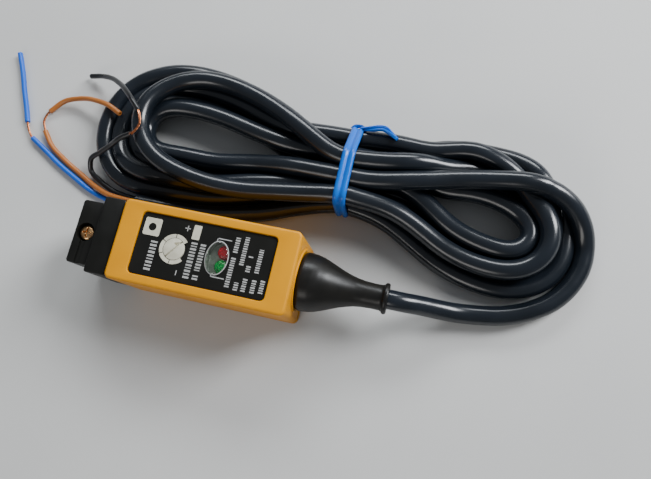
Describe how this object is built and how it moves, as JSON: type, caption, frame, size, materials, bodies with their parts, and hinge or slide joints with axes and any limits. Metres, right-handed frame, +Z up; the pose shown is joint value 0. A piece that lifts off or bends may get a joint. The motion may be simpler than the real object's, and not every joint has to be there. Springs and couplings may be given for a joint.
{
  "type": "photoelectric sensor",
  "caption": "Box-shaped fibre photoelectric sensor: yellow housing with adjuster and indicators, black clamp head for optical fibres, rubber boot, and a lead in a tied hank with bare wires.",
  "frame": {"origin": "middle of the base plane under head, housing and boot, with the cord and what is on it left out", "axes": "+X from the clamp head towards the boot, +Z up through the label field, +Y towards the hank"},
  "size_m": [0.2128, 0.0775, 0.024],
  "materials": {
    "yellow_plastic": "semi-matte moulded",
    "black_plastic": "fine moulded texture",
    "label_black": "satin printed film",
    "ivory_plastic": "semi-matte",
    "clear_plastic": "polished",
    "red_lens": "polished",
    "green_lens": "polished",
    "board_green": "solder resist",
    "chip_black": "moulded epoxy",
    "steel": "plated",
    "brass": "worn plating",
    "rubber_black": "semi-matte",
    "cord_pvc": "glossy",
    "tie_blue": "glossy",
    "wire_blue": "satin",
    "wire_brown": "satin",
    "wire_black": "satin",
    "copper": "bright strands",
    "trimmer_blue": "moulded"
  },
  "bodies": {
    "body": {"housing": "yellow_plastic", "base_cover": "yellow_plastic", "base_gasket": "rubber_black", "cover_screw_1": "steel", "cover_screw_2": "steel", "cover_screw_3": "steel", "cover_screw_4": "steel", "mounting_insert_front": "brass", "mounting_insert_rear": "brass", "label_plate": "label_black", "adjuster_seal": "rubber_black", "indicator_window": "clear_plastic", "led_light_on": "red_lens", "led_stability": "green_lens", "led_spacer": "black_plastic", "main_board": "board_green", "optics_board": "board_green", "trimmer_body": "trimmer_blue", "control_ic": "chip_black", "filter_capacitor": "chip_black", "output_transistor": "chip_black", "shield_can": "steel", "optic_block": "black_plastic", "head_gasket": "rubber_black", "clamp_block": "black_plastic", "fibre_seal_left": "rubber_black", "head_screw_left": "steel", "fibre_seal_right": "rubber_black", "head_screw_right": "steel", "emitter_led": "clear_plastic", "photodiode": "chip_black", "boot": "rubber_black", "cord_anchor": "steel", "cord_core": "cord_pvc", "lead_brown": "wire_brown", "lead_blue": "wire_blue", "lead_black": "wire_black", "cord_lead": "cord_pvc", "cord_hank": "cord_pvc", "cord_tail": "cord_pvc", "hank_tie": "tie_blue", "wire_blue": "wire_blue", "strands_blue": "copper", "sleeve_blue": "wire_blue", "wire_brown": "wire_brown", "strands_brown": "copper", "sleeve_brown": "wire_brown", "wire_black": "wire_black", "strands_black": "copper", "sleeve_black": "wire_black"},
    "adjuster": {"sensitivity_adjuster": "ivory_plastic", "trimmer_rotor": "ivory_plastic"},
    "clamp_screw": {"clamp_screw": "brass", "clamp_clip": "steel"},
    "clamp_jaw": {"clamp_jaw": "steel"}
  },
  "joints": [
    {"name": "adjuster_turn", "type": "hinge", "parent": "body", "child": "adjuster", "pos_m": [-0.015, 0, 0.02], "axis": [0, 0, 1], "range_deg": [-8, 264]},
    {"name": "clamp_screw_turn", "type": "hinge", "parent": "body", "child": "clamp_screw", "pos_m": [-0.0454, 0, 0.015], "axis": [0, 0, 1], "range_deg": [-600, 0]},
    {"name": "clamp_jaw_lift", "type": "slide", "parent": "body", "child": "clamp_jaw", "axis": [0, 0, 1], "range_m": [0, 0.000833]}
  ],
  "couplings": [
    {"joint": "clamp_screw_turn", "follows": "clamp_jaw_lift", "rad_per_m": -12566}
  ]
}
